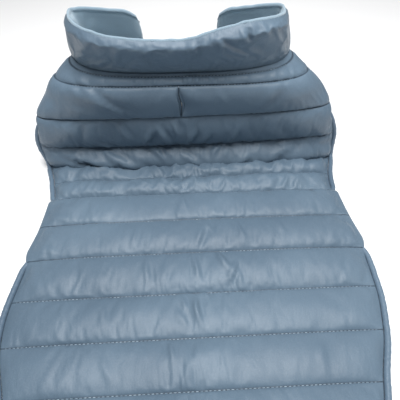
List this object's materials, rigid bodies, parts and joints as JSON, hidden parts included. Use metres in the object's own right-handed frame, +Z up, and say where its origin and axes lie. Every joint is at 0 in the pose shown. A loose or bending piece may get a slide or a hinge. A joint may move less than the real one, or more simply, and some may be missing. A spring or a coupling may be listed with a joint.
{
  "type": "dog winter coat",
  "caption": "Quilted, padded dog coat with a stand collar, leash slot, leg openings and corded edge piping, its neck end standing open and its back lying flat.",
  "frame": {"origin": "under the middle of the coat's box, on the surface it rests on", "axes": "+X to the coat's right as seen from the tail, +Y from the tail to the head, +Z up off the surface"},
  "size_m": [0.3348, 0.4368, 0.1655],
  "materials": {
    "shell": "satin",
    "lining": "matte",
    "piping": "satin"
  },
  "bodies": {
    "root": {"back_panel": "shell", "front_left": "shell", "front_right": "shell", "collar_shell": "shell", "collar_lining": "lining", "slot_lip_left": "shell", "slot_lip_right": "shell", "edge_piping": "piping"}
  },
  "joints": []
}
